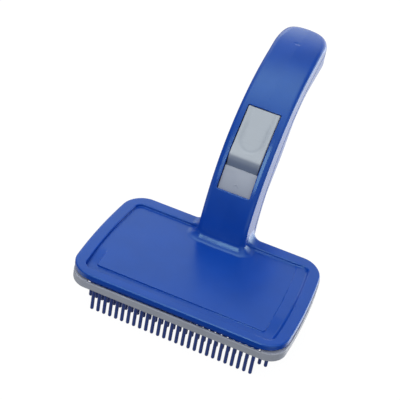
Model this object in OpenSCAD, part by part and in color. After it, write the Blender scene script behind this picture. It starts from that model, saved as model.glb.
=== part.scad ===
// Self-cleaning pet brush. A rectangular head carries rows of rounded plastic
// pins, and a slotted stripper plate sits around the pins. A thumb button
// slides along the arched handle, its curved strip reaches down into the
// head, and a cross pin there drives the plate along the pins to push the
// collected hair off. Two compression springs bring everything back.
// Built about the middle of the head with z = 0 on the rim of the head, then
// moved so that the origin is under the middle of the whole object, at the
// level of the pin tips.

/* [Head] */
// Length of the head along its long side
head_l = 120; // [116:1:124]
// Depth of the head from front to back
head_w = 75.5; // [75:0.5:77]
// Radius of the corners of the head
head_r = 12; // [10:0.5:13]
// How far the short sides curve in towards their ends
side_bow = 2.2; // [1.5:0.1:2.5]
// How far the short sides lean in towards the back
side_taper = 1.5; // [0:0.1:2]
// Height of the head shell
shell_h = 3.4; // [3.2:0.1:3.6]
// Depth of the sunk panel in the top of the head
panel_d = 1.5; // [1.4:0.1:1.6]
// Width of the rim along the short sides
rim_side = 7.3; // [7:0.1:8]
// Width of the rim along the front
rim_front = 9; // [8.5:0.1:9.5]
// Width of the rim along the back
rim_back = 7.2; // [7:0.1:8]

/* [Pins] */
// Distance between neighbouring pins in a row
pin_pitch = 3.49; // [3.4:0.01:3.5]
// Radius of a pin
pin_r = 0.95; // [0.85:0.05:1]
// Depth of the pin tips below the rim of the head
pin_tip = 25.8; // [24:0.1:27]
// Distance from the middle of the head to the front row
row_front = 33.9; // [33.5:0.1:34]
// Distance between neighbouring rows
row_gap = 8.9; // [8.8:0.05:8.9]

/* [Stripper plate] */
// Depth of the top edge of the plate below the rim of the head
plate_top = 5.2; // [5.1:0.1:5.4]
// Depth of the underside of the plate below the rim of the head
plate_bot = 10; // [9.8:0.1:10.2]
// Thickness of the plate's floor
floor_t = 1.5; // [1.2:0.1:1.6]
// Thickness of the plate's upright wall
skirt_t = 1.3; // [1.1:0.1:1.4]
// Radius of the corners of the plate
plate_r = 9.5; // [9:0.1:10]
// Depth of the plate's raised corners below the rim of the head
corner_top = 3.8; // [3.7:0.1:4]
// Half width of the slot around each row of pins
row_slot = 2.5; // [2:0.1:2.5]

/* [Handle] */
// Radius of the handle's upper surface
han_r = 96; // [95.5:0.1:96.5]
// Half width of the handle
han_w = 14; // [13.8:0.1:14.2]
// Rounding of the long upper edges of the handle
han_edge = 3; // [2:0.1:3]
// Wall thickness of the upper handle shell
wall = 2; // [1.9:0.1:2.1]
// Thickness of the lower handle cover between its swells
cover_t = 4.1; // [3.9:0.1:4.3]
// Furthest point of the handle behind the middle of the head
han_end = 130; // [129:0.1:131]

/* [Slider] */
// Half width of the slot in the handle
slot_w = 9.5; // [9.4:0.1:9.6]
// Lower end of the slot as an angle round the handle's arc
slot_a0 = 25.3; // [25:0.1:25.4]
// Upper end of the slot as an angle round the handle's arc
slot_a1 = 54.5; // [54.4:0.1:55]
// Travel of the button as an angle round the handle's arc
travel = 7.5; // [7:0.1:7.5]
// Gap between sliding faces
gap = 0.3; // [0.3:0.01:0.35]

/* [Hidden] */
$fn = 48;

blue = [0.10, 0.27, 0.66];
navy = [0.10, 0.13, 0.38];
grey = [0.55, 0.56, 0.57];
pale = [0.69, 0.72, 0.75];
mid  = [0.55, 0.58, 0.63];
steel = [0.72, 0.73, 0.75];

// Middle of the whole object seen from above, and the level of the pin tips
plate_over = 0.3;
y_mid = (han_end - head_w/2 - plate_over) / 2;
hl = head_l / 2;
hw = head_w / 2;

// Axis of the handle's arc, and of the arc of its underside
arc_y = 118;
arc_z = -12.5;
und_y = 125.6;
und_z = -7.6;
und_r = 80.7;
seam_r = und_r + cover_t;
// Level of the middle of the rounding over the end
end_z = arc_z + sqrt(pow(han_r, 2) - pow(han_end - 5.65 - arc_y, 2)) - 5.65;

// Slider levels, as radii about the axis of the handle's arc
strip_o = han_r - wall - gap;
strip_i = strip_o - 2;
// Flat top of the button: the direction it faces and its distance from the axis
top_a = 47;
top_r = 95.1;
strip_a1 = 63;
foot_r = 85.7;
foot_a = 12;
pin_y = arc_y - foot_r * cos(foot_a);
pin_z = arc_z + foot_r * sin(foot_a);
drive_r = 1;

// Spring posts of the plate
post_x = 8.3;
post_y = 32.6;
post_r = 1.6;
spring_z0 = -shell_h - 0.05;
spring_z1 = 12.4;

// Carrier of the pin combs
car_top = -shell_h - 0.05;
car_t = 1.7;
car_in = 2.05;
row_n = [27, 30, 31, 30, 31, 30, 31, 30];

car_screw = [[-50, -31.5], [50, -31.5], [-48.5, 32.2], [48.5, 32.2], [-55, -2.75], [55, -2.75]];
cover_screw_a = [71, 85];
// Angle, distance from the middle and level of the tip of each button screw
button_screw = [[38.2, 0, 95.2], [51, 7.6, 94.5], [51, -7.6, 94.5]];

function side_half(y) = hl - side_bow * pow(y / hw, 2) - side_taper * y / hw;
function arc_pts(cx, cy, r, a) = [for (i = [0:8]) let (t = a + 90 * i / 8) [cx + r * cos(t), cy + r * sin(t)]];
// Rounded rectangle with extra points along the short sides
function rr(l, w, r) = concat(
    arc_pts(l - r, -w + r, r, -90),
    [for (i = [1:6]) [l, -w + r + (2 * w - 2 * r) * i / 7]],
    arc_pts(l - r, w - r, r, 0),
    arc_pts(-l + r, w - r, r, 90),
    [for (i = [1:6]) [-l, w - r - (2 * w - 2 * r) * i / 7]],
    arc_pts(-l + r, -w + r, r, 180));
// The same with its short sides bowed and leaning like those of the head
function bowed(pts, l, yc, inset) = [for (p = pts) [p[0] * (side_half(p[1] + yc) - inset) / l, p[1] + yc]];
function head_pts(d) = bowed(rr(hl - d, hw - d, head_r - d), hl - d, 0, d);
function plate_pts(d) = bowed(rr(hl + plate_over - d, hw + plate_over - d, plate_r - d), hl + plate_over - d, 0, d - plate_over);
function rim_pts(d) = let (y0 = -hw + rim_front - d, y1 = hw - rim_back + d)
    bowed(rr(hl - rim_side + d, (y1 - y0) / 2, 3.6), hl - rim_side + d, (y0 + y1) / 2, rim_side - d);

module place() { translate([0, -y_mid, pin_tip]) children(); }
// Sweep a section, given as (radius, across), round the handle's arc
module sweep(a0, a1) {
    translate([0, arc_y, arc_z]) rotate([90, 0, -90]) rotate([0, 0, a0])
        rotate_extrude(angle = a1 - a0, $fn = 180) children();
}
// Put something that points outwards along +Z at a radius on the handle's arc
module on_arc(a, r, x = 0) {
    translate([x, arc_y - r * cos(a), arc_z + r * sin(a)]) rotate([90 - a, 0, 0]) children();
}
module band(r0, r1, x0, x1) { translate([r0, x0]) square([r1 - r0, x1 - x0]); }
// Cylinder about the axis of the handle's underside
module under(r, w) {
    translate([-w, und_y, und_z]) rotate([0, 90, 0]) cylinder(r = r, h = 2 * w, $fn = 180);
}
// Outline of the handle seen from above; its end is between an ellipse and a rectangle
function end_pts(d) = let (w = han_w - d, l = 16 - d, e = han_end - d) concat(
    [[-w, -20], [w, -20]],
    [for (i = [0:40]) let (t = 180 * i / 40) [w * sign(cos(t)) * pow(abs(cos(t)), 0.8), e - l + l * pow(abs(sin(t)), 0.8)]]);
module end_block(d) { translate([0, 0, -30]) linear_extrude(140) polygon(end_pts(d)); }
// Section of the handle's outside, as (radius, across), with rounded upper edges
function han_pts() = concat(
    [[70, -han_w]],
    [for (i = [0:6]) let (t = -90 + 90 * i / 6) [han_r - han_edge + han_edge * cos(t), -han_w + han_edge + han_edge * sin(t)]],
    [for (i = [0:6]) let (t = 90 * i / 6) [han_r - han_edge + han_edge * cos(t), han_w - han_edge + han_edge * sin(t)]],
    [[70, han_w]]);

// One moulding: the top of the head and the upper half of the handle
module body_shell() color(blue) place() {
    difference() {
        union() {
            difference() {
                translate([0, 0, -shell_h]) linear_extrude(shell_h) polygon(head_pts(0));
                translate([0, 0, -panel_d]) linear_extrude(5) polygon(rim_pts(0));
                translate([0, 0, -shell_h - 1]) linear_extrude(shell_h - 0.6) difference() {
                    polygon(head_pts(1.8));
                    polygon(rim_pts(1.6));
                }
            }
            for (p = car_screw) translate([p[0], p[1], -shell_h]) cylinder(r = 2.4, h = shell_h - 1);
            // Hollow slope from the panel to the front of the handle
            translate([-12.2, 0, 0]) rotate([90, 0, 90]) linear_extrude(24.4) polygon(concat(
                [[24.5, -panel_d - 0.6], [24.5, -panel_d + 2.95]],
                [for (i = [0:6]) let (t = 47 + 40 * i / 6) [15.62 + 11 * cos(t), -panel_d + 10.985 - 11 * sin(t)]],
                [[15.62, -panel_d - 0.6]]));
            difference() {
                intersection() {
                    sweep(4.5, 100) polygon(han_pts());
                    end_block(0);
                }
                under(seam_r + 0.05, 30);
                translate([-30, 0, -40 - shell_h]) cube([60, 80, 40]);
                // Rounding over the end of the handle
                difference() {
                    translate([-30, han_end - 5.4, end_z + 0.26]) cube([60, 10, 15]);
                    translate([-31, han_end - 5.65, end_z]) rotate([0, 90, 0]) cylinder(r = 5.66, h = 62, $fn = 96);
                }
            }
        }
        intersection() {
            sweep(3, 101) band(65, han_r - wall, -han_w + 1.8, han_w - 1.8);
            end_block(2);
            translate([-30, -30, -40]) cube([60, han_end - 2.8 + 30, 150]);
        }
        sweep(slot_a0, slot_a1) band(88, han_r + 3, -slot_w, slot_w);
        for (p = car_screw) translate([p[0], p[1], -shell_h - 1]) cylinder(r = 0.8, h = 3.2);
    }
    // Floor that closes the root of the handle behind the head
    difference() {
        translate([-han_w + 0.6, hw - 1, -shell_h + 0.1]) cube([2 * han_w - 1.2, 8, 1.6]);
        under(und_r, 30);
        translate([-30, und_y - 20, -30]) cube([60, 60, 60]);
    }
    // Posts for the screws of the cover
    for (a = cover_screw_a) difference() {
        on_arc(a, 82) cylinder(r = 2.8, h = han_r - wall - 82 + 0.2);
        under(seam_r + 0.05, 30);
        on_arc(a, 80) cylinder(r = 0.9, h = han_r - wall - 80 - 1);
    }
}

// Swells of the underside: one for the fingers, and a flat one at the end
module swells() {
    translate([-30, und_y - 140.7 * cos(37), und_z + 140.7 * sin(37)]) rotate([0, 90, 0]) cylinder(r = 63.6, h = 60, $fn = 180);
    translate([-30, und_y, und_z]) rotate([3.6, 0, 0]) translate([0, -35, 75.7]) cube([60, 60, 30]);
}
// Underside of the handle, closing the shell along a seam
module handle_cover() color(blue) place() {
    difference() {
        union() {
            intersection() {
                difference() {
                    under(seam_r, han_w);
                    difference() { under(und_r, 30); swells(); }
                }
                translate([-30, 20, -shell_h + 1.8]) cube([60, 120, 110]);
                end_block(0);
            }
            // Lips that sit inside the walls of the shell
            for (s = [-1, 1]) intersection() {
                difference() { under(seam_r + 3, 30); under(seam_r - 0.3, 30); }
                translate([s > 0 ? 10.2 : -11.4, 20, 4]) cube([1.2, 86, 110]);
            }
            // Ribs that the strip runs on
            for (s = [-1, 1]) difference() {
                sweep(25, 60) band(76, strip_i - gap, s > 0 ? 3 : -4.4, s > 0 ? 4.4 : -3);
                under(seam_r - 0.3, 30);
            }
        }
        for (a = cover_screw_a) {
            on_arc(a, 70) cylinder(r = 1.2, h = 30);
            on_arc(a, 70) cylinder(r = 2.4, h = cover_hole(a) - 70);
        }
    }
}
// Level of the counterbore floor for a cover screw, as a radius about the
// handle's arc: where the screw's line comes 1.1 mm from the seam
function cover_hole(a) = let (dy = -cos(a), dz = sin(a), oy = arc_y - und_y, oz = arc_z - und_z,
    b = oy * dy + oz * dz, c = oy * oy + oz * oz - pow(und_r + 3, 2)) -b + sqrt(b * b - c);

function row_y(k) = -row_front + k * row_gap;
function row_half(k) = (row_n[k] - 1) / 2 * pin_pitch;

// Plate under the head shell that the combs of pins hang from
module comb_carrier() color(blue) place() difference() {
    translate([0, 0, car_top - car_t]) linear_extrude(car_t) polygon(head_pts(car_in));
    for (k = [0:7]) {
        translate([-row_half(k) - 1.65, row_y(k) - 1.2, car_top - 1.05]) cube([2 * row_half(k) + 3.3, 2.4, 2]);
        translate([-row_half(k) - 0.8, row_y(k) - pin_r - 0.05, car_top - 3]) cube([2 * row_half(k) + 1.6, 2 * pin_r + 0.1, 4]);
    }
    translate([-5.1, 29.75, car_top - 3]) cube([10.2, 20, 6]);
    for (s = [-1, 1]) translate([s * post_x, post_y, car_top - 3]) cylinder(r = post_r + gap, h = 6);
    for (p = car_screw) translate([p[0], p[1], car_top - car_t]) {
        translate([0, 0, -1]) cylinder(r = 1.15, h = 5);
        translate([0, 0, -1]) cylinder(r = 1.9, h = 1.8);
    }
}

// A row of pins moulded on a strip
module pin_comb(k) color(navy) place() {
    translate([-row_half(k) - 1.6, row_y(k) - 1.15, car_top - 1]) cube([2 * row_half(k) + 3.2, 2.3, 0.95]);
    for (i = [0:row_n[k] - 1]) translate([-row_half(k) + i * pin_pitch, row_y(k), 0]) {
        translate([0, 0, -pin_tip + pin_r]) cylinder(r = pin_r, h = pin_tip - pin_r + car_top - 0.5, $fn = 24);
        translate([0, 0, -pin_tip + pin_r]) sphere(r = pin_r, $fn = 24);
    }
}

// Screws that hold the carrier in the head
module carrier_screws() color(steel) place() for (p = car_screw) translate([p[0], p[1], car_top - car_t]) {
    translate([0, 0, 0.05]) cylinder(r = 1.75, h = 0.7);
    translate([0, 0, 0.05]) cylinder(r = 0.75, h = 3.4);
}

// Screws that hold the lower cover
module cover_screws() color(steel) place() for (a = cover_screw_a) {
    on_arc(a, cover_hole(a) - 1) cylinder(r = 2.1, h = 0.95);
    on_arc(a, cover_hole(a) - 1) cylinder(r = 0.85, h = 5.5);
}

// Tray that slides along the pins and pushes the hair off
module stripper_plate() color(grey) place() {
    difference() {
        translate([0, 0, -plate_bot]) linear_extrude(plate_bot - plate_top) polygon(plate_pts(0));
        translate([0, 0, -plate_bot + floor_t]) linear_extrude(20) polygon(plate_pts(skirt_t));
        for (k = [0:7]) {
            h = k == 0 ? 48.5 : 52;
            translate([0, row_y(k), -plate_bot - 1]) linear_extrude(10) {
                translate([-h, -row_slot]) square([2 * h, 2 * row_slot]);
                for (s = [-1, 1]) translate([s * h, 0]) circle(r = row_slot, $fn = 32);
            }
        }
    }
    // Raised corners, which close the gap below the shell there
    difference() {
        translate([0, 0, -plate_bot + floor_t - 0.2]) linear_extrude(plate_bot - floor_t + 0.2 - corner_top) difference() {
            polygon(plate_pts(0.05));
            polygon(head_pts(1.7));
        }
        translate([-49, -60, -20]) cube([98, 120, 40]);
        translate([-80, -26, -20]) cube([160, 52, 40]);
    }
    // Posts for the springs
    for (s = [-1, 1]) translate([s * post_x, post_y, -plate_bot + 0.2]) difference() {
        cylinder(r = post_r, h = spring_z1 + plate_bot - 0.2);
        translate([0, 0, 10]) cylinder(r = 0.7, h = 40);
    }
    // Lugs with the slot that the cross pin moves in
    for (s = [-1, 1]) difference() {
        translate([s > 0 ? 2.7 : -4.7, pin_y - 4.1, -plate_bot]) cube([2, 6.3, plate_bot + pin_z + 2.7]);
        translate([-10, pin_y - 1.6, pin_z]) rotate([0, 90, 0]) cylinder(r = drive_r + 0.15, h = 20);
        translate([-10, pin_y, pin_z]) rotate([0, 90, 0]) cylinder(r = drive_r + 0.15, h = 20);
        translate([-10, pin_y - 1.6, pin_z - drive_r - 0.15]) cube([20, 1.6, 2 * drive_r + 0.3]);
    }
}

// Outline of the thumb hollow, rounded at its lower end and open at its upper end
function hollow_pts() = concat([[6.7, 22], [-6.7, 22]], [for (i = [0:12]) let (t = 180 + 15 * i) [6.7 * cos(t), 6.7 * sin(t)]]);
// Thumb button with a flat top, a steep lower end and a shallow thumb hollow
module slide_button() color(pale) place() difference() {
    sweep(34.1, slot_a1 - 0.3) band(strip_o + 0.05, han_r + 2, -slot_w + gap, slot_w - gap);
    on_arc(top_a, top_r) translate([-20, -30, 0]) cube([40, 60, 20]);
    on_arc(34.2, strip_o + 0.3) rotate([31, 0, 0]) translate([-20, -20, 0]) cube([40, 40, 20]);
    intersection() {
        on_arc(top_a, top_r - 0.45) translate([-20, -30, 0]) cube([40, 60, 20]);
        on_arc(43.3, han_r - 8) linear_extrude(20) polygon(hollow_pts());
    }
    for (p = button_screw) on_arc(p[0], strip_o - 1, p[1]) cylinder(r = 0.8, h = p[2] + 0.2 - strip_o + 1);
}

// Curved strip under the button, with the foot that drives the plate
module slide_strip() color(mid) place() difference() {
    union() {
        // The strip, narrower at its lower end
        difference() {
            sweep(15.5, strip_a1) band(strip_i, strip_o, -slot_w + gap, slot_w - gap);
            for (s = [-1, 1]) sweep(14, 21.5) band(strip_i - 1, strip_o + 1, s > 0 ? 4.2 : -12, s > 0 ? 12 : -4.2);
        }
        // The foot, which turns back under the strip, and its eye
        difference() {
            sweep(foot_a, 18.5) band(foot_r - 1.7, strip_i + 0.5, -2.4, 2.4);
            sweep(foot_a - 2, 15.8) band(foot_r + 1.7, strip_o + 2, -5, 5);
        }
        on_arc(foot_a, foot_r, -2.3) rotate([0, 90, 0]) cylinder(r = 2.2, h = 4.6);
    }
    on_arc(foot_a, foot_r, -10) rotate([0, 90, 0]) cylinder(r = drive_r + 0.01, h = 20);
    for (p = button_screw) on_arc(p[0], strip_i - 1, p[1]) cylinder(r = 1, h = 5);
    // Cross groove in front of the button, and a round mark
    sweep(33.4, 36) band(strip_o - 1.2, strip_o + 2, -12, 12);
    on_arc(27.4, strip_o - 0.4) cylinder(r = 0.9, h = 2);
}

// Cross pin in the foot of the strip
module drive_pin() color(steel) place() on_arc(foot_a, foot_r, -4.6) rotate([0, 90, 0]) cylinder(r = drive_r, h = 9.2);

// Screws from the strip into the button
module button_screws() color(steel) place() for (p = button_screw) {
    on_arc(p[0], strip_i - 0.9, p[1]) cylinder(r = 1.6, h = 0.85);
    on_arc(p[0], strip_i - 0.9, p[1]) cylinder(r = 0.75, h = p[2] - strip_i + 0.9);
}

// Compression spring: a round wire wound along Z
coil_turns = 6;
coil_r = 2.4;
wire_r = 0.3;
module coil(z0, z1) {
    n = 16;
    m = coil_turns * n;
    pts = [for (i = [0:m]) let (t = 360 * i / n, z = z0 + wire_r + (z1 - z0 - 2 * wire_r) * i / m)
        for (j = [0:5]) let (q = 60 * j, r = coil_r + wire_r * cos(q)) [r * cos(t), r * sin(t), z + wire_r * sin(q)]];
    faces = concat(
        [for (i = [0:m - 1]) for (j = [0:5]) let (a = 6 * i + j, b = 6 * i + (j + 1) % 6) [a, a + 6, b + 6]],
        [for (i = [0:m - 1]) for (j = [0:5]) let (a = 6 * i + j, b = 6 * i + (j + 1) % 6) [a, b + 6, b]],
        [[for (j = [0:5]) j]], [[for (j = [5:-1:0]) 6 * m + j]]);
    polyhedron(pts, faces, convexity = 10);
}
module return_springs() color(steel) place()
    for (s = [-1, 1]) translate([s * post_x, post_y, 0]) coil(spring_z0 + 0.05, spring_z1 - 0.05);

// Washers on top of the springs
module spring_washers() color(steel) place() for (s = [-1, 1]) translate([s * post_x, post_y, spring_z1]) difference() {
    translate([0, 0, 0.02]) cylinder(r = 2.9, h = 0.6);
    translate([0, 0, -1]) cylinder(r = 0.9, h = 3);
}

// Screws that hold the washers on the posts
module spring_screws() color(steel) place() for (s = [-1, 1]) translate([s * post_x, post_y, spring_z1 + 0.65]) {
    cylinder(r = 1.7, h = 1.2);
    translate([0, 0, -6]) cylinder(r = 0.65, h = 6.5);
}

body_shell();
handle_cover();
comb_carrier();
pin_comb(0);  // pin_comb_1
pin_comb(1);  // pin_comb_2
pin_comb(2);  // pin_comb_3
pin_comb(3);  // pin_comb_4
pin_comb(4);  // pin_comb_5
pin_comb(5);  // pin_comb_6
pin_comb(6);  // pin_comb_7
pin_comb(7);  // pin_comb_8
carrier_screws();
cover_screws();
stripper_plate();
slide_button();
slide_strip();
drive_pin();
button_screws();
return_springs();
spring_washers();
spring_screws();
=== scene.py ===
import math

import bpy
import numpy as np
from mathutils import Matrix, Vector


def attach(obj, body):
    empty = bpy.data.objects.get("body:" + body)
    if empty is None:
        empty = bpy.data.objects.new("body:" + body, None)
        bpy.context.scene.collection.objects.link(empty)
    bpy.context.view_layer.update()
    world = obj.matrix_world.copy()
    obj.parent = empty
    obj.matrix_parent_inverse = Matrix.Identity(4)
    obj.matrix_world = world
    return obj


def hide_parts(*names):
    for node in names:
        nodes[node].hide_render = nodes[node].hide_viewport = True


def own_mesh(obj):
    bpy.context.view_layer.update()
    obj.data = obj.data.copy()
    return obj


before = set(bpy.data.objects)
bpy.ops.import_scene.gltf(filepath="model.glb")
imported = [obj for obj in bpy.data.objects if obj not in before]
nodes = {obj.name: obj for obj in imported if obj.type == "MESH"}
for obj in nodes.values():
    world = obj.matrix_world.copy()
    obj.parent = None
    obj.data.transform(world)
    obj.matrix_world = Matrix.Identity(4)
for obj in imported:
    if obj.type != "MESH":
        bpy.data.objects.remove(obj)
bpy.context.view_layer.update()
scene = bpy.context.scene

# ---------------------------------------------------------------- measures, in mm about the middle of the head
Y_MID, TIP = 45.975, 25.8            # the frame's origin lies under the middle of the whole object
HL, HW, HR = 60.0, 37.75, 12.0       # head
BOW, LEAN = 2.2, 1.5
SHELL_H, PANEL = 3.4, 1.5
ARC_Y, ARC_Z, HAN_R = 118.0, -12.5, 96.0
UND_Y, UND_Z, UND_R, SEAM_R = 125.6, -7.6, 80.7, 84.8
END_Y, END_L = 114.0, 16.0           # the handle's end, between an ellipse and a rectangle
SLOT_W, SLOT_A0, SLOT_A1 = 9.5, 25.3, 54.5
STRIP_I, STRIP_O = 91.7, 93.7
TOP_A, TOP_R = 47.0, 95.1            # flat top of the button
ROW_Y = [-33.9 + 8.9 * k for k in range(8)]
COVER_A = (71.0, 85.0)
BUTTON_SCREW = ((38.2, 0.0, 95.2), (51.0, 7.6, 94.5), (51.0, -7.6, 94.5))
DEG = math.pi / 180


# ---------------------------------------------------------------- distance fields
def rmax(a, b, r):
    """Where both are inside, with the edge between them rounded."""
    return np.minimum(np.maximum(a, b), -r) + np.hypot(np.maximum(a + r, 0), np.maximum(b + r, 0))


def rmin(a, b, r):
    """Where either is inside, with the corner between them filled."""
    return np.maximum(np.minimum(a, b), r) - np.hypot(np.maximum(r - a, 0), np.maximum(r - b, 0))


def rbox(x, y, hx, hy, r):
    q, s = np.abs(x) - (hx - r), np.abs(y) - (hy - r)
    return np.hypot(np.maximum(q, 0), np.maximum(s, 0)) + np.minimum(np.maximum(q, s), 0) - r


def side(y):
    t = np.clip(y, -42, 42) / HW
    return HL - BOW * t * t - LEAN * t


def head_outline(x, y, d=0.0, r=HR):
    x = np.where(x < 0, x * 0.99, x)
    return rbox(x * (HL - d) / (side(y) - d), y, HL - d, HW - d, r)


def recess_outline(x, y):
    half = HL - 6.8
    return rbox((x + 0.5) * half / (side(y) - 6.8), y + 0.875, half, 31.42, 3.6)


def polar(y, z):
    yy, zz = y - ARC_Y, z - ARC_Z
    return np.hypot(yy, zz), np.arctan2(zz, -yy) / DEG


def waist(a):
    return 14.15 - 0.3 * np.exp(-(((a - 15) / 18) ** 2))


def ease(v, a, b):
    t = np.clip((v - a) / (b - a), 0, 1)
    return t * t * (3 - 2 * t)


def plan(x, y, w):
    """Outline of the handle seen from above: straight sides and a full, round end."""
    u = x + 0.6 * ease(y, 95, 122)
    n = np.where(u < 0, 3.4, 2.3)
    u = np.abs(u)
    v = np.maximum(y - END_Y, 0)
    f = np.maximum((u / w) ** n + (v / END_L) ** n, 1e-9) ** (1 / n)
    g = np.hypot(u ** (n - 1) / w ** n, v ** (n - 1) / END_L ** n) * f ** (1 - n)
    return (f - 1) / np.maximum(g, 1 / END_L)


def head_solid(x, y, z):
    d = rmax(head_outline(x, y), z, 1.0)
    d = rmax(d, -SHELL_H - z, 0.35)
    # the panel lies a little below the ledge on its right and above the one in front
    pad = rbox((x + 1.2) * 47.4 / (side(y) - 12.6), y - 1.5, 47.4, 28.15, 1.5)
    ledge = 0.22 * ease(x, -20, 30) - 0.97 * ease(y, -12, -26.5)
    ground = -PANEL - 0.1 + ledge * ease(pad, -0.16, 0.16)
    right = ease(x, 42, 50)
    hollow = rmax(recess_outline(x, y) - 0.08 * (z + PANEL) - 0.5 * right * (z + 1.1), ground - z, 0.3 + 0.7 * right)
    return rmax(d, -hollow, 0.3 + 0.2 * ease(y, -26, -20))


def shell(x, y, z):
    rho, a = polar(y, z)
    rho2 = np.hypot(y - UND_Y, z - UND_Z)
    pl = plan(x, y, waist(a))
    # the edges of its top slope down a little
    lean = np.where(x > 0, 0.05, 0.09)
    top = rmax(rho - HAN_R, rho - HAN_R + (np.abs(x) - 9.3 - 3 * ease(a, 76, 86)) * lean, 2.0)
    outer = rmax(top, pl, 2.8 + 2.8 * ease(y, 106, 124))
    han = rmax(outer, SEAM_R + 0.62 - rho2, 0.2)
    han = np.maximum(han, -SHELL_H - 3 - z)
    wide = 0.4 * ease(np.abs(x), 9, 14) * (1 - ease(y, 27, 34))
    d = rmin(head_solid(x, y, z), han, 5.6 + wide)
    d = rmax(d, -SHELL_H - z, 0.3)
    # low skirt inside the front and the sides
    o = head_outline(x, y)
    low = -5.55 + 0.3 * ease(x, -18, -8) - 0.42 * ease(x, 8, 38)
    low = np.where((np.abs(x) > 48.2) & (np.abs(y) > 25.2), -4.25, low)
    skirt = np.maximum(np.maximum(o + 1.4, -1.95 - o), y - 24)
    d = np.minimum(d, np.maximum(skirt, np.maximum(low - z, z + 3.0)))
    # hollow of the handle, open at the bottom
    d = np.maximum(d, -rmax(rho - (HAN_R - 2), pl + 2.1, 1.0))
    # floor behind the head
    floor = np.maximum(np.maximum(np.abs(x) - 13.4, np.abs(y - 40.75) - 4.0), np.abs(z + 2.5) - 0.8)
    d = np.minimum(d, rmax(floor, UND_R + 0.1 - rho2, 0.3))
    # slot of the button
    k = rho * DEG
    mid, half = (SLOT_A0 + SLOT_A1) / 2, (SLOT_A1 - SLOT_A0) / 2
    slot = np.maximum(rbox(x, (a - mid) * k, SLOT_W, half * k, 0.5), 88 - rho)
    d = rmax(d, -slot, 0.4)
    # gate mark near the end
    e = np.sqrt(((x + 1) / 2.9) ** 2 + ((a - 84) * k / 1.15) ** 2 + ((rho - HAN_R) / 0.45) ** 2) - 1
    return np.maximum(d, -0.42 * e)


def hole_top(a):
    dy, dz = -math.cos(a * DEG), math.sin(a * DEG)
    oy, oz = ARC_Y - UND_Y, ARC_Z - UND_Z
    b, c = oy * dy + oz * dz, oy * oy + oz * oz - (UND_R + 3.0) ** 2
    return -b + math.sqrt(b * b - c)


def cover(x, y, z):
    rho, a = polar(y, z)
    rho2 = np.hypot(y - UND_Y, z - UND_Z)
    pl = plan(x, y, waist(a))
    # swells of the underside: one for the fingers, and a flat one at the end
    c, s = math.cos(37 * DEG), math.sin(37 * DEG)
    swell = np.hypot(y - UND_Y + 140.7 * c, z - UND_Z - 140.7 * s) - 63.6
    flat = 75.7 - (z - UND_Z) * math.cos(3.6 * DEG) + (y - UND_Y) * math.sin(3.6 * DEG)
    d = rmin(rmin(UND_R - rho2, swell, 2.0), flat, 2.0)
    d = rmax(d, pl, 2.0)
    d = rmax(d, rho2 - SEAM_R, 0.2)
    d = rmax(d, -1.6 - z, 0.3)
    for s in COVER_A:
        ny, nz = -math.cos(s * DEG), math.sin(s * DEG)
        t = (y - ARC_Y) * ny + (z - ARC_Z) * nz
        u = (y - ARC_Y) * nz - (z - ARC_Z) * ny
        q = np.hypot(x, u)
        d = rmax(d, -np.maximum(q - 2.4, t - hole_top(s)), 0.25)
        d = np.maximum(d, 1.2 - q)
    return d


def plate(x, y, z):
    x0, x = x, np.where(x < 0, x * 1.006, x)
    out = rbox(x * (HL + 0.3) / (side(y) + 0.3), y, HL + 0.3, HW + 0.3, 9.5)
    inn = rbox(x * (HL - 1.0) / (side(y) - 1.0), y, HL - 1.0, HW - 1.0, 8.2)
    d = rmax(out, -10.0 - z, 0.9)
    d = rmax(d, z + 5.2, 0.35)
    d = rmax(d, -rmax(inn, -8.5 - z, 0.5), 0.3)
    # raised corners
    pad = rmax(rmax(out, z + 4.6, 0.45), -8.7 - z, 0.1)
    pad = rmax(pad, -head_outline(x, y, 1.7, 10.3), 0.2)
    d = np.minimum(d, rmax(pad, np.maximum(49 - np.abs(x), 26 - np.abs(y)), 0.3))
    x = x0
    for k, yk in enumerate(ROW_Y):
        h = 48.5 if k == 0 else 52.0
        s = np.hypot(np.maximum(np.abs(x) - h, 0), y - yk) - 2.5
        d = rmax(d, -np.maximum(s, z + 7.5), 0.3)
    # posts for the springs, and the two lugs that the cross pin moves in
    post = np.hypot(np.abs(x) - 8.3, y - 32.6)
    p = rmax(rmax(post - 1.6, z - 12.4, 0.2), -9.5 - z, 0.1)
    d = rmin(d, p, 0.4)
    lug = np.maximum(np.maximum(np.abs(np.abs(x) - 3.7) - 1.0, np.abs(y - 33.22) - 3.15), np.abs(z + 0.99) - 9.0)
    eye = np.hypot(np.maximum(np.abs(y - 33.37) - 0.8, 0), z - 5.318) - 1.15
    d = rmin(d, rmax(rmax(lug, z - 8.0, 0.3), -eye, 0.1), 0.4)
    return d


def button(x, y, z):
    rho, a = polar(y, z)
    k = rho * DEG
    top = (y - ARC_Y) * -math.cos(TOP_A * DEG) + (z - ARC_Z) * math.sin(TOP_A * DEG) - TOP_R
    c, s = math.cos(34.2 * DEG), math.sin(34.2 * DEG)
    along = (y - ARC_Y + 94 * c) * s + (z - ARC_Z - 94 * s) * c
    out = (z - ARC_Z - 94 * s) * s - (y - ARC_Y + 94 * c) * c
    face = out * math.cos(31 * DEG) - along * math.sin(31 * DEG)
    # shallow thumb hollow that fades out upwards
    t = (a - 43.3) * k
    u = np.where(t > 0, np.abs(x + 0.3), np.hypot(x + 0.3, t)) - 6.8
    hollow = rmax(u, -0.38 + 0.016 * (t + 6.4) - top, 1.1)
    d = rmax(rmax(top, -hollow, 1.3), face, 2.0)
    d = rmax(d, np.abs(x) - 9.05, 0.6)
    d = rmax(d, (a - 54.15) * k, 0.5)
    foot = np.maximum(92.56 - rho, (a - 35.9) * k)
    return np.maximum(d, np.minimum(STRIP_O + 0.05 - rho, foot))


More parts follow.
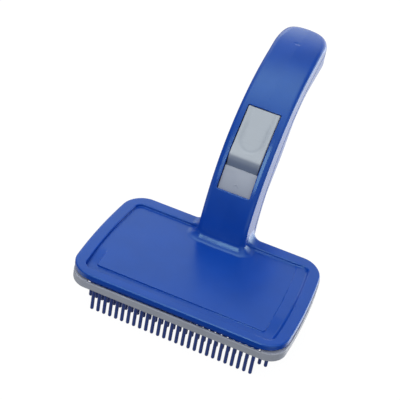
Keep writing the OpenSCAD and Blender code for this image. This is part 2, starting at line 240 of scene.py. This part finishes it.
def button_shade(x, y, z):
    """Painted shade: darker along the border of the hollow, and over the face below the lip, most at its foot."""
    rho, a = polar(y, z)
    t = (a - 43.3) * rho * DEG
    u = np.where(t > 0, np.abs(x + 0.3), np.hypot(x + 0.3, t)) - 6.8
    # painted shade just inside the hollow's border, fading out upwards
    rim = 0.15 * np.exp(-(((u + 0.9) / 1.0) ** 2)) * (1 - ease(t, 6, 14))
    c, s = math.cos(34.2 * DEG), math.sin(34.2 * DEG)
    along = (y - ARC_Y + 94 * c) * s + (z - ARC_Z - 94 * s) * c
    # painted shade over the face under the lip, darkest towards its foot
    return rim + (0.86 - 0.2 * ease(along, 0.0, 4.0)) * ease(along, 5.6, 3.8)


def strip(x, y, z):
    rho, a = polar(y, z)
    k = rho * DEG
    thick = rmax(rho - STRIP_O, STRIP_I - rho, 0.25)
    main = rmax(np.maximum((21.5 - a) * k, (a - 63) * k), np.abs(x) - 9.35, 0.6)
    tail = np.maximum(np.maximum((15.5 - a) * k, (a - 23) * k), np.abs(x) - 4.2)
    d = rmax(thick, np.minimum(main, tail), 0.25)
    d = rmax(d, -np.maximum(np.maximum((33.4 - a) * k, (a - 36) * k), 92.5 - rho), 0.2)
    # the foot and its eye
    leg = np.maximum(np.maximum((15.8 - a) * k, (a - 18.5) * k), np.maximum(84 - rho, rho - 92.2))
    toe = np.maximum(np.maximum((12 - a) * k, (a - 18.5) * k), np.maximum(84 - rho, rho - 87.4))
    d = np.minimum(d, rmax(rmin(leg, toe, 0.6), np.abs(x) - 2.4, 0.3))
    cy, cz = ARC_Y - 85.7 * math.cos(12 * DEG), ARC_Z + 85.7 * math.sin(12 * DEG)
    q = np.hypot(y - cy, z - cz)
    d = np.minimum(d, rmax(q - 2.2, np.abs(x) - 2.3, 0.2))
    d = np.maximum(d, 1.02 - q)
    for sa, sx, _ in BUTTON_SCREW:
        d = np.maximum(d, 1.0 - np.hypot(x - sx, (a - sa) * k))
    # round mark
    m = np.hypot(x, (a - 27.4) * k)
    sunk = 0.1 + 0.3 * ease((27.4 - a) * k, -0.4, 0.7)
    d = rmin(d, np.hypot(m - 1.15, rho - STRIP_O + sunk) - 0.26, 0.15)
    return d


def screw(head_r, head_h, shank_r, length, pitch=0.62):
    """Pan-head screw with a cross recess; it points along +Z and its head starts at 0."""
    def fn(x, y, z):
        q = np.hypot(x, y)
        head = rmax(rmax(q - head_r, z - head_h, 0.08), -z + 0.06 * q * q / head_r, 0.25)
        turn = np.arctan2(y, x) / (2 * math.pi) - z / pitch
        wave = np.abs(turn - np.round(turn)) * 2
        shank = q - (shank_r - 0.16 * wave)
        shank = rmax(shank, z - length + np.maximum(q - 0.15, 0) * 0.8, 0.05)
        shank = np.maximum(shank, 0.3 - z)
        d = np.minimum(head, shank)
        w = 0.17 * head_r
        arm = np.minimum(np.maximum(np.abs(x) - w, np.abs(y) - 0.62 * head_r), np.maximum(np.abs(y) - w, np.abs(x) - 0.62 * head_r))
        return np.maximum(d, -np.maximum(arm + 0.35 * z, z - 0.62 * head_h))
    return fn


# ---------------------------------------------------------------- meshing
CORNERS = np.array([(i, j, k) for i in (0, 1) for j in (0, 1) for k in (0, 1)])
EDGES = [(a, b) for a in range(8) for b in range(a + 1, 8) if np.abs(CORNERS[a] - CORNERS[b]).sum() == 1]


def gradient(fn, p, e=0.02):
    g = np.empty_like(p)
    for i in range(3):
        hi, lo = p.copy(), p.copy()
        hi[:, i] += e
        lo[:, i] -= e
        g[:, i] = (fn(*hi.T) - fn(*lo.T)) / (2 * e)
    return g


def settle(fn, p, h, n=3):
    for _ in range(n):
        g = gradient(fn, p)
        step = fn(*p.T) / np.maximum((g * g).sum(1), 0.2)
        p = p - np.clip(step, -h, h)[:, None] * g
    return p


def surface(fn, lo, hi, h):
    """Quads on the surface where fn is 0."""
    ax = [np.arange(lo[i], hi[i] + h, h) for i in range(3)]
    n = [len(v) for v in ax]
    D = np.empty(n, np.float32)
    B = 16
    reach = 1.25 * h * B * math.sqrt(3) / 2 + h
    for i in range(0, n[0], B):
        for j in range(0, n[1], B):
            # leave out blocks that the surface doesn't come near
            mid = [np.float64(v[c] + h * (B - 1) / 2) for v, c in ((ax[0], i), (ax[1], j))]
            ks = np.arange(0, n[2], B)
            near = fn(np.full(len(ks), mid[0]), np.full(len(ks), mid[1]), ax[2][ks] + h * (B - 1) / 2)
            for k, dist in zip(ks, near):
                block = (slice(i, i + B), slice(j, j + B), slice(k, k + B))
                if abs(dist) > reach:
                    D[block] = dist
                else:
                    D[block] = fn(*np.meshgrid(ax[0][block[0]], ax[1][block[1]], ax[2][block[2]], indexing="ij"))
    S = D < 0
    m = [v - 1 for v in n]
    count = np.zeros(m, np.int8)
    for c in CORNERS:
        count += S[c[0]:c[0] + m[0], c[1]:c[1] + m[1], c[2]:c[2] + m[2]]
    active = (count > 0) & (count < 8)
    cells = np.argwhere(active)
    val = [D[cells[:, 0] + c[0], cells[:, 1] + c[1], cells[:, 2] + c[2]].astype(float) for c in CORNERS]
    acc, cnt = np.zeros((len(cells), 3)), np.zeros(len(cells))
    for a, b in EDGES:
        cut = (val[a] < 0) != (val[b] < 0)
        t = np.where(cut, val[a] / np.where(cut, val[a] - val[b], 1), 0)
        acc += np.where(cut[:, None], CORNERS[a] + t[:, None] * (CORNERS[b] - CORNERS[a]), 0)
        cnt += cut
    verts = (cells + acc / cnt[:, None]) * h + np.array([v[0] for v in ax])
    index = np.full(m, -1, np.int32)
    index[active] = np.arange(len(cells))
    quads = []
    for d in range(3):
        u, v = (d + 1) % 3, (d + 2) % 3
        first = [slice(1, -1)] * 3
        last = [slice(1, -1)] * 3
        first[d], last[d] = slice(0, -1), slice(1, None)
        s0, s1 = S[tuple(first)], S[tuple(last)]
        e = np.argwhere(s0 != s1)
        up = s0[tuple(e.T)]
        base = e.copy()
        def at(du, dv):
            c = base.copy()
            c[:, u] += du
            c[:, v] += dv
            return index[tuple(c.T)]
        q = np.stack([at(0, 0), at(1, 0), at(1, 1), at(0, 1)], 1)
        quads.append(np.where(up[:, None], q, q[:, ::-1]))
    return settle(fn, verts, h), np.vstack(quads)


def mesh_of(name, verts, faces, normals=None):
    me = bpy.data.meshes.new(name)
    k = faces.shape[1]
    me.vertices.add(len(verts))
    me.vertices.foreach_set("co", np.ascontiguousarray(verts, np.float32).ravel())
    me.loops.add(faces.size)
    me.loops.foreach_set("vertex_index", np.ascontiguousarray(faces, np.int32).ravel())
    me.polygons.add(len(faces))
    me.polygons.foreach_set("loop_start", np.arange(0, faces.size, k, dtype=np.int32))
    me.polygons.foreach_set("use_smooth", np.ones(len(faces), bool))
    me.update(calc_edges=True)
    me.validate()
    if normals is not None:
        me.normals_split_custom_set_from_vertices(normals)
    return me


def to_frame(p):
    return (p + np.array([0, -Y_MID, TIP])) * 0.001


def add(name, me):
    o = bpy.data.objects.new(name, me)
    scene.collection.objects.link(o)
    return o


def thin(name, verts, faces, keep):
    """Fewer faces where the surface is flat."""
    o = add(name + "_raw", mesh_of(name + "_raw", verts, faces))
    m = o.modifiers.new("thin", "DECIMATE")
    m.ratio = keep
    m.use_collapse_triangulate = True
    bpy.context.view_layer.update()
    e = o.evaluated_get(bpy.context.evaluated_depsgraph_get())
    me = e.to_mesh()
    v = np.empty(len(me.vertices) * 3, np.float32)
    me.vertices.foreach_get("co", v)
    f = np.empty(len(me.polygons) * 3, np.int32)
    me.polygons.foreach_get("vertices", f)
    e.to_mesh_clear()
    data = o.data
    bpy.data.objects.remove(o)
    bpy.data.meshes.remove(data)
    return v.reshape(-1, 3).astype(float), f.reshape(-1, 3)


def build(name, fn, lo, hi, h, keep=0.4, shade=None):
    v, f = surface(fn, lo, hi, h)
    if keep < 1:
        v, f = thin(name, v, f, keep)
        v = settle(fn, v, 0.1, 2)
    g = gradient(fn, v)
    g /= np.maximum(np.linalg.norm(g, axis=1), 1e-9)[:, None]
    me = mesh_of(name, to_frame(v), f, g)
    if shade:
        me.attributes.new("shade", "FLOAT", "POINT").data.foreach_set("value", shade(*v.T).astype(np.float32))
    return add(name, me)


# ---------------------------------------------------------------- materials
class Paint:
    """A procedural moulded-plastic or metal material."""

    def __init__(self, name):
        self.m = bpy.data.materials.new(name)
        self.m.use_nodes = True
        self.t = self.m.node_tree
        self.t.nodes.clear()
        self.out = self.node("ShaderNodeOutputMaterial")
        self.b = self.node("ShaderNodeBsdfPrincipled")
        self.link(self.b.outputs["BSDF"], self.out.inputs["Surface"])
        self.co = self.node("ShaderNodeTexCoord").outputs["Object"]

    def node(self, kind, **kw):
        n = self.t.nodes.new(kind)
        for k, v in kw.items():
            setattr(n, k, v)
        return n

    def link(self, a, b):
        self.t.links.new(a, b)

    def set(self, **kw):
        for k, v in kw.items():
            self.b.inputs[k.replace("_", " ")].default_value = v

    def noise(self, scale, detail=3.0, rough=0.5, stretch=None):
        n = self.node("ShaderNodeTexNoise")
        n.inputs["Scale"].default_value = scale
        n.inputs["Detail"].default_value = detail
        n.inputs["Roughness"].default_value = rough
        co = self.co
        if stretch:
            mp = self.node("ShaderNodeMapping")
            mp.inputs["Scale"].default_value = stretch
            self.link(co, mp.inputs["Vector"])
            co = mp.outputs["Vector"]
        self.link(co, n.inputs["Vector"])
        return n.outputs["Fac"]

    def ramp(self, fac, lo, hi, a, b):
        r = self.node("ShaderNodeMapRange")
        r.inputs["From Min"].default_value = lo
        r.inputs["From Max"].default_value = hi
        r.inputs["To Min"].default_value = a
        r.inputs["To Max"].default_value = b
        self.link(fac, r.inputs["Value"])
        return r.outputs["Result"]

    def mix(self, fac, a, b, blend="MIX"):
        n = self.node("ShaderNodeMix", data_type="RGBA", blend_type=blend)
        if isinstance(fac, float):
            n.inputs["Factor"].default_value = fac
        else:
            self.link(fac, n.inputs["Factor"])
        for s, v in ((n.inputs[6], a), (n.inputs[7], b)):
            if isinstance(v, tuple):
                s.default_value = (*v, 1)
            else:
                self.link(v, s)
        return n.outputs[2]

    def bump(self, fac, strength, dist, normal=None):
        n = self.node("ShaderNodeBump")
        n.inputs["Strength"].default_value = strength
        n.inputs["Distance"].default_value = dist
        self.link(fac, n.inputs["Height"])
        if normal is not None:
            self.link(normal, n.inputs["Normal"])
        return n.outputs["Normal"]

    def edges(self):
        """Convex edges, where handling rubs the plastic lighter."""
        g = self.node("ShaderNodeNewGeometry")
        return self.ramp(g.outputs["Pointiness"], 0.52, 0.62, 0.0, 1.0)


def blue_plastic(name, base, rough=(0.19, 0.27)):
    p = Paint(name)
    dark, light = tuple(v * 0.93 for v in base), tuple(v * 1.06 for v in base)
    c = p.mix(p.ramp(p.noise(55, 4), 0.3, 0.7, 0, 1), dark, light)
    c = p.mix(p.ramp(p.edges(), 0, 1, 0, 0.18), c, tuple(min(1, v * 1.5 + 0.01) for v in base))
    p.link(c, p.b.inputs["Base Color"])
    smear = p.noise(120, 5, 0.6, (1, 0.35, 1))
    p.link(p.ramp(smear, 0.3, 0.75, *rough), p.b.inputs["Roughness"])
    n = p.bump(p.noise(420, 2), 0.04, 0.0004)
    n = p.bump(p.noise(2600, 2), 0.03, 0.0001, n)
    p.link(n, p.b.inputs["Normal"])
    p.set(IOR=1.58, Specular_Tint=(0.56, 0.96, 0.91, 1.0))
    return p.m


def satin(name, base, rough, grain=3200, depth=0.10, spread=0.05, ior=1.48):
    p = Paint(name)
    dark, light = tuple(v * (1 - spread) for v in base), tuple(v * (1 + spread) for v in base)
    c = p.mix(p.ramp(p.noise(80, 4), 0.3, 0.7, 0, 1), dark, light)
    c = p.mix(p.ramp(p.edges(), 0, 1, 0, 0.2), c, tuple(min(1, v * 1.2) for v in base))
    # painted shade: where a mesh carries the 'shade' attribute (the thumb button), the colour is mixed towards a
    # darker, bluer tone
    shade = p.node("ShaderNodeAttribute", attribute_name="shade").outputs["Fac"]
    c = p.mix(shade, c, tuple(v * k for v, k in zip(base, (0.25, 0.30, 0.42))))
    p.link(c, p.b.inputs["Base Color"])
    p.link(p.ramp(p.noise(300, 3), 0.3, 0.7, rough - 0.05, rough + 0.06), p.b.inputs["Roughness"])
    n = p.bump(p.noise(grain, 2), depth, 0.0001)
    n = p.bump(p.noise(500, 2), 0.03, 0.0003, n)
    p.link(n, p.b.inputs["Normal"])
    p.set(IOR=ior)
    return p.m


def steel_metal(name):
    p = Paint(name)
    c = p.mix(p.ramp(p.noise(900, 3), 0.3, 0.7, 0, 1), (0.50, 0.51, 0.53), (0.66, 0.66, 0.67))
    p.link(c, p.b.inputs["Base Color"])
    p.link(p.ramp(p.noise(1500, 3), 0.3, 0.7, 0.22, 0.36), p.b.inputs["Roughness"])
    p.link(p.bump(p.noise(4000, 2), 0.06, 0.00005), p.b.inputs["Normal"])
    p.set(Metallic=1.0)
    return p.m


BLUE = (0.004, 0.056, 0.405)
M = {
    "blue_shell": blue_plastic("blue_gloss", BLUE),
    "navy_pins": satin("navy_pin", (0.031, 0.061, 0.245), 0.36, 2600, 0.05, ior=1.32),
    "grey_plate": satin("grey_tray", (0.367, 0.398, 0.471), 0.42),
    "pale_button": satin("pale_button", (0.47, 0.53, 0.595), 0.38, 3600, 0.08, 0.03),
    "grey_strip": satin("grey_strip", (0.345, 0.392, 0.482), 0.34, 3600, 0.06, 0.03),
    "steel": steel_metal("screw_steel"),
}


def finish_piece(o, body, slot, *replaced):
    o.data.materials.clear()
    o.data.materials.append(M[slot])
    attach(o, body)
    if replaced:
        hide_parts(*replaced)
    return o


# ---------------------------------------------------------------- pieces
finish_piece(build("handle_and_head", shell, (-62, -39, -6.4), (62, 131, 85), 0.38, 0.28), "brush_body", "blue_shell", "body_shell")
finish_piece(build("under_cover", cover, (-15.5, 38, -2.6), (15.5, 131, 79), 0.38, 0.35), "brush_body", "blue_shell", "handle_cover")
finish_piece(build("hair_plate", plate, (-62, -39, -10.8), (62, 39.5, 13.2), 0.4, 0.35), "stripper", "grey_plate", "stripper_plate")
finish_piece(build("thumb_button", button, (-10, 36, 37), (10, 66, 68), 0.22, 0.4, button_shade), "slider", "pale_button", "slide_button")
finish_piece(build("inner_strip", strip, (-10, 26, 1.5), (10, 77, 72), 0.25, 0.3), "slider", "grey_strip", "slide_strip")


def on_arc(a, r, x=0.0):
    """Matrix whose +Z points outwards at a radius on the handle's arc."""
    c, s = math.cos(a * DEG), math.sin(a * DEG)
    return np.array([[1, 0, 0, x], [0, s, -c, ARC_Y - r * c], [0, c, s, ARC_Z + r * s], [0, 0, 0, 1]])


def upright(x, y, z, flip=False):
    s = -1.0 if flip else 1.0
    return np.array([[1, 0, 0, x], [0, s, 0, y], [0, 0, s, z], [0, 0, 0, 1]])


def screws(name, fn, lo, hi, places):
    v, f = surface(fn, lo, hi, 0.09)
    v, f = thin(name, v, f, 0.35)
    vs = [v @ m[:3, :3].T + m[:3, 3] for m in places]
    fs = [f + i * len(v) for i in range(len(places))]
    me = mesh_of(name, to_frame(np.vstack(vs)), np.vstack(fs))
    me.set_sharp_from_angle(angle=math.radians(40))
    return add(name, me)


CAR_SCREW = [(-50, -31.5), (50, -31.5), (-48.5, 32.2), (48.5, 32.2), (-55, -2.75), (55, -2.75)]
finish_piece(screws("cover_screw_set", screw(2.1, 0.95, 0.85, 5.5), (-2.4, -2.4, -0.3), (2.4, 2.4, 5.8),
                    [on_arc(a, hole_top(a) - 1) for a in COVER_A]), "brush_body", "steel", "cover_screws")
finish_piece(screws("carrier_screw_set", screw(1.75, 0.7, 0.75, 3.4, 0.5), (-2.0, -2.0, -0.3), (2.0, 2.0, 3.7),
                    [upright(x, y, -5.1) for x, y in CAR_SCREW]), "brush_body", "steel", "carrier_screws")
finish_piece(screws("button_screw_set", screw(1.6, 0.85, 0.75, 3.6, 0.5), (-1.9, -1.9, -0.3), (1.9, 1.9, 3.9),
                    [on_arc(a, STRIP_I - 0.9, x) for a, x, _ in BUTTON_SCREW]), "slider", "steel", "button_screws")
finish_piece(screws("spring_screw_set", screw(1.7, 1.2, 0.65, 7.2, 0.5), (-2.0, -2.0, -0.3), (2.0, 2.0, 7.5),
                    [upright(s * 8.3, 32.6, 12.4 + 0.65 + 1.2, True) for s in (-1, 1)]), "stripper", "steel", "spring_screws")


def coil(name, centres, z0, z1, radius, wire, turns):
    """Round-wire compression springs with a flat dead turn at each end."""
    n, k = int(turns * 40), 12
    u = np.linspace(0, 1, n + 1)
    dead = 1.0 / turns
    rise = np.clip((u - dead * 0.8) / (1 - 1.6 * dead), 0, 1)
    z = z0 + wire + (z1 - z0 - 2 * wire) * (0.06 * u + 0.94 * rise)
    t = 2 * math.pi * turns * u
    q = 2 * math.pi * np.arange(k) / k
    r = radius + wire * np.cos(q)[None, :]
    ring = np.stack([r * np.cos(t)[:, None], r * np.sin(t)[:, None], z[:, None] + wire * np.sin(q)[None, :]], 2)
    pts = ring.reshape(-1, 3)
    i, j = np.meshgrid(np.arange(n), np.arange(k), indexing="ij")
    a, b = i * k + j, i * k + (j + 1) % k
    quad = np.stack([a, b, b + k, a + k], 2).reshape(-1, 4)[:, ::-1]
    ends = [np.array([[s + 0, s + 1, s + 2, s + 3], [s + 0, s + 3, s + 4, s + 11], [s + 4, s + 5, s + 10, s + 11],
                      [s + 5, s + 6, s + 9, s + 10], [s + 6, s + 7, s + 8, s + 9]]) for s in (0, n * k)]
    quad = np.vstack([quad, ends[0], ends[1][:, ::-1]])
    vs = [pts + np.array([x, y, 0]) for x, y in centres]
    fs = [quad + m * len(pts) for m in range(len(centres))]
    return add(name, mesh_of(name, to_frame(np.vstack(vs)), np.vstack(fs)))


springs = finish_piece(coil("spring_pair", [(-8.3, 32.6), (8.3, 32.6)], -3.4, 12.35, 2.4, 0.3, 6), "brush_body", "steel", "return_springs")
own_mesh(springs)

# the other nodes keep their own shape and get the finish of their material
SLOTS = {"comb_carrier": "blue_shell", "drive_pin": "steel", "spring_washers": "steel"}
SLOTS.update({f"pin_comb_{k}": "navy_pins" for k in range(1, 9)})
for n, s in SLOTS.items():
    o = nodes[n]
    if not o.material_slots:
        o.data.materials.append(M[s])
    for ms in o.material_slots:
        ms.link = "OBJECT"
        ms.material = M[s]

# ---------------------------------------------------------------- stage
bpy.ops.mesh.primitive_circle_add(vertices=96, radius=6.0, fill_type="NGON", location=(0, 0, -0.0002))
floor = bpy.context.object
floor.name = "floor"
fm = bpy.data.materials.new("pale_floor")
fm.use_nodes = True
ft = fm.node_tree
fb = ft.nodes["Principled BSDF"]
fb.inputs["Base Color"].default_value = (0.08, 0.08, 0.08, 1)
fb.inputs["Roughness"].default_value = 0.9
fb.inputs["Specular IOR Level"].default_value = 0.0
fb.inputs["Emission Color"].default_value = (1, 1, 1, 1)
fb.inputs["Emission Strength"].default_value = 0.96
floor.data.materials.append(fm)
floor.visible_glossy = False
floor.visible_diffuse = False
floor.visible_shadow = False

world = bpy.data.worlds.new("studio")
scene.world = world
world.use_nodes = True
wt = world.node_tree
wt.nodes.clear()


def wnode(kind, **kw):
    n = wt.nodes.new(kind)
    for k, v in kw.items():
        setattr(n, k, v)
    return n


def wmath(op, a, b=0.0, c=None):
    n = wnode("ShaderNodeMath", operation=op)
    for s, v in zip(n.inputs, (a, b, c)):
        if v is None:
            continue
        if isinstance(v, (int, float)):
            s.default_value = v
        else:
            wt.links.new(v, s)
    return n.outputs[0]


# soft patches of light all round: strength and direction of each
LOBES = [
    (3.17, (0.67, 0.74, 0.06)), (2.41, (0.50, 0.73, -0.46)), (2.15, (0.79, 0.56, -0.26)), (2.05, (-0.37, 0.88, 0.31)),
    (2.04, (0.37, 0.92, -0.14)), (1.39, (-0.45, -0.08, 0.89)), (1.30, (-0.20, 0.18, 0.96)), (1.03, (0.16, 0.00, 0.99)),
    (0.81, (0.85, 0.45, 0.26)), (0.80, (0.62, -0.72, -0.31)), (0.79, (0.46, 0.80, 0.39)), (0.75, (0.43, -0.27, 0.86)),
    (0.74, (0.03, -0.35, 0.94)), (0.71, (-0.44, 0.63, 0.64)), (0.67, (-0.58, -0.01, -0.81)), (0.63, (-0.65, -0.66, -0.36)),
    (0.61, (-0.04, 0.86, 0.51)), (0.57, (-0.60, 0.25, 0.76)), (0.57, (0.17, 0.97, 0.19)), (0.56, (0.73, -0.16, 0.66)),
    (0.53, (-0.74, 0.51, 0.44)), (0.49, (0.85, -0.39, 0.34)), (0.46, (0.35, -0.93, -0.11)), (0.46, (0.03, 0.94, -0.34)),
    (0.45, (-0.61, -0.40, -0.69)), (0.45, (0.60, -0.59, 0.54)), (0.42, (-0.85, -0.20, -0.49)), (0.42, (0.75, -0.42, -0.51)),
    (0.39, (-0.18, 0.98, -0.01)), (0.38, (-0.30, 0.18, -0.94)), (0.36, (-0.75, 0.26, -0.61)), (0.35, (-0.42, 0.53, -0.74)),
    (0.34, (0.29, -0.61, 0.74)), (0.34, (-0.70, 0.58, -0.41)), (0.34, (-0.26, 0.80, -0.54)), (0.34, (0.19, 0.73, -0.66)),
    (0.32, (-0.89, -0.42, -0.16)), (0.29, (-0.95, 0.12, -0.29)), (0.29, (-0.67, 0.73, 0.11)), (0.28, (0.20, -0.89, 0.41)),
    (0.28, (-0.63, -0.36, 0.69)), (0.28, (-0.49, 0.84, -0.21)), (0.27, (-0.05, 0.50, -0.86)), (0.26, (-0.78, -0.60, 0.16)),
    (0.26, (0.25, 0.32, 0.91)), (0.23, (-0.89, 0.45, -0.09)), (0.22, (-0.53, -0.85, -0.04)), (0.22, (0.80, -0.60, 0.01)),
    (0.21, (0.53, -0.82, 0.21)), (0.20, (0.07, -0.26, -0.96)), (0.17, (0.41, -0.37, -0.84)), (0.14, (-0.27, -0.52, 0.81)),
    (0.13, (-0.94, 0.25, 0.24)), (0.12, (0.88, 0.12, 0.46)), (0.08, (0.36, -0.68, -0.64)), (0.08, (-0.32, -0.90, 0.29)),
    (0.07, (-0.83, 0.03, 0.56)), (0.07, (0.62, 0.52, 0.59)),
]
SHARP = 24.0
ray = wnode("ShaderNodeTexCoord").outputs["Generated"]
total = 0.0
for strength, c in LOBES:
    dot = wnode("ShaderNodeVectorMath", operation="DOT_PRODUCT")
    wt.links.new(ray, dot.inputs[0])
    dot.inputs[1].default_value = Vector(c).normalized()
    e = wmath("EXPONENT", wmath("MULTIPLY_ADD", dot.outputs["Value"], SHARP, math.log(strength) - SHARP))
    total = wmath("ADD", e, total)
bg = wnode("ShaderNodeBackground")
bg.inputs["Color"].default_value = (1, 1, 1, 1)
wt.links.new(total, bg.inputs["Strength"])
wo = wnode("ShaderNodeOutputWorld")
wt.links.new(bg.outputs[0], wo.inputs["Surface"])


def area(name, loc, target, size, power):
    l = bpy.data.lights.new(name, "AREA")
    l.shape = "RECTANGLE"
    l.size, l.size_y = size
    l.energy = power
    o = bpy.data.objects.new(name, l)
    scene.collection.objects.link(o)
    o.location = loc
    o.rotation_euler = (Vector(target) - Vector(loc)).to_track_quat("-Z", "Y").to_euler()
    return o


area("softbox_top", (-0.15, 0.10, 1.1), (0, 0, 0.05), (0.7, 0.5), 0.4)
area("softbox_front", (-0.188, -0.961, 0.748), (0, 0.004, 0.06), (0.34, 0.66), 3.4)

scene.view_settings.view_transform = "Standard"
scene.view_settings.look = "None"
scene.view_settings.exposure = 0.0
scene.view_settings.gamma = 1.0

# ---------------------------------------------------------------- camera at the photograph's angle
az, el, roll = 16.62 * DEG, 37.73 * DEG, 10.54 * DEG
back = Vector((math.sin(az) * math.cos(el), -math.cos(az) * math.cos(el), math.sin(el)))
right = Vector((math.cos(az), math.sin(az), 0))
up = back.cross(right)
cx = right * math.cos(roll) + up * math.sin(roll)
cy = -right * math.sin(roll) + up * math.cos(roll)
cam = bpy.data.objects.new("camera", bpy.data.cameras.new("camera"))
scene.collection.objects.link(cam)
cam.data.sensor_width = 36
cam.data.lens = 1323.02 * 36 / 400
cam.data.clip_start, cam.data.clip_end = 0.05, 50
m = Matrix.Identity(4)
for i in range(3):
    m[i][0], m[i][1], m[i][2] = cx[i], cy[i], back[i]
m[0][3], m[1][3], m[2][3] = 0.14475, -0.511085 - Y_MID / 1000, 0.45456 + TIP / 1000
cam.matrix_world = m
scene.camera = cam

bpy.context.view_layer.update()
